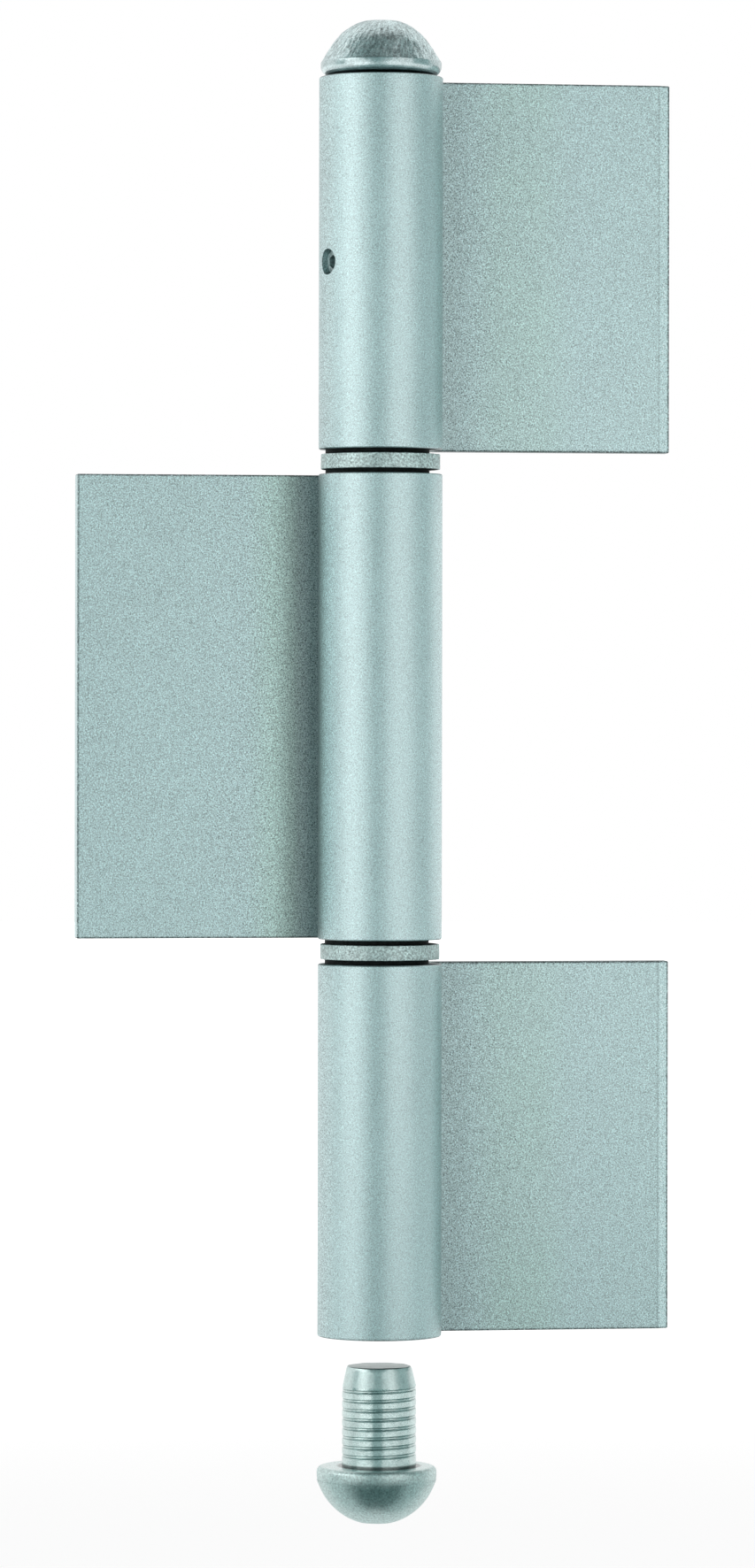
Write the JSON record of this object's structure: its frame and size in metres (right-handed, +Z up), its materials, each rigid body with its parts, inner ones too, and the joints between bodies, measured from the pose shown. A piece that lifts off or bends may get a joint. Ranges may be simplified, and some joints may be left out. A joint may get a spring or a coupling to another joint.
{
  "type": "construction hinge",
  "caption": "Weld-on door hinge with rolled leaves on one round-headed pin, bearing rings between the knuckles and a ribbed closing plug shown drawn out.",
  "frame": {"origin": "on the pin's axis, half way up the whole object with its closing plug drawn out", "axes": "+Z up the pin towards its round head, +X towards the frame leaves, +Y out of the weld faces at the back"},
  "size_m": [0.097, 0.02, 0.2424],
  "materials": {
    "leaf_zinc": "matt galvanised, fine sandy grain",
    "pin_zinc": "galvanised over a forged skin, satin",
    "ring_zinc": "galvanised, worn and uneven",
    "screw_steel": "dark plain steel",
    "plug_zinc": "galvanised, satin shank and matt head"
  },
  "bodies": {
    "pin_side": {"upper_leaf": "leaf_zinc", "hinge_pin": "pin_zinc", "locking_screw": "screw_steel"},
    "door_side": {"door_leaf": "leaf_zinc"},
    "lower_side": {"lower_leaf": "leaf_zinc"},
    "upper_ring_body": {"upper_ring": "ring_zinc"},
    "lower_ring_body": {"lower_ring": "ring_zinc"},
    "plug_body": {"closing_plug": "plug_zinc"}
  },
  "joints": [
    {"name": "door_swing", "type": "hinge", "parent": "pin_side", "child": "door_side", "pos_m": [0, 0, 0.0104], "axis": [0, 0, 1], "continuous": true},
    {"name": "lower_leaf_swing", "type": "hinge", "parent": "pin_side", "child": "lower_side", "pos_m": [0, 0, -0.0611], "axis": [0, 0, 1], "continuous": true},
    {"name": "upper_ring_turn", "type": "hinge", "parent": "pin_side", "child": "upper_ring_body", "pos_m": [0, 0, 0.0499], "axis": [0, 0, 1], "continuous": true},
    {"name": "lower_ring_turn", "type": "hinge", "parent": "pin_side", "child": "lower_ring_body", "pos_m": [0, 0, -0.0291], "axis": [0, 0, 1], "continuous": true},
    {"name": "plug_push", "type": "slide", "parent": "lower_side", "child": "plug_body", "axis": [0, 0, 1], "range_m": [0, 0.021]}
  ]
}
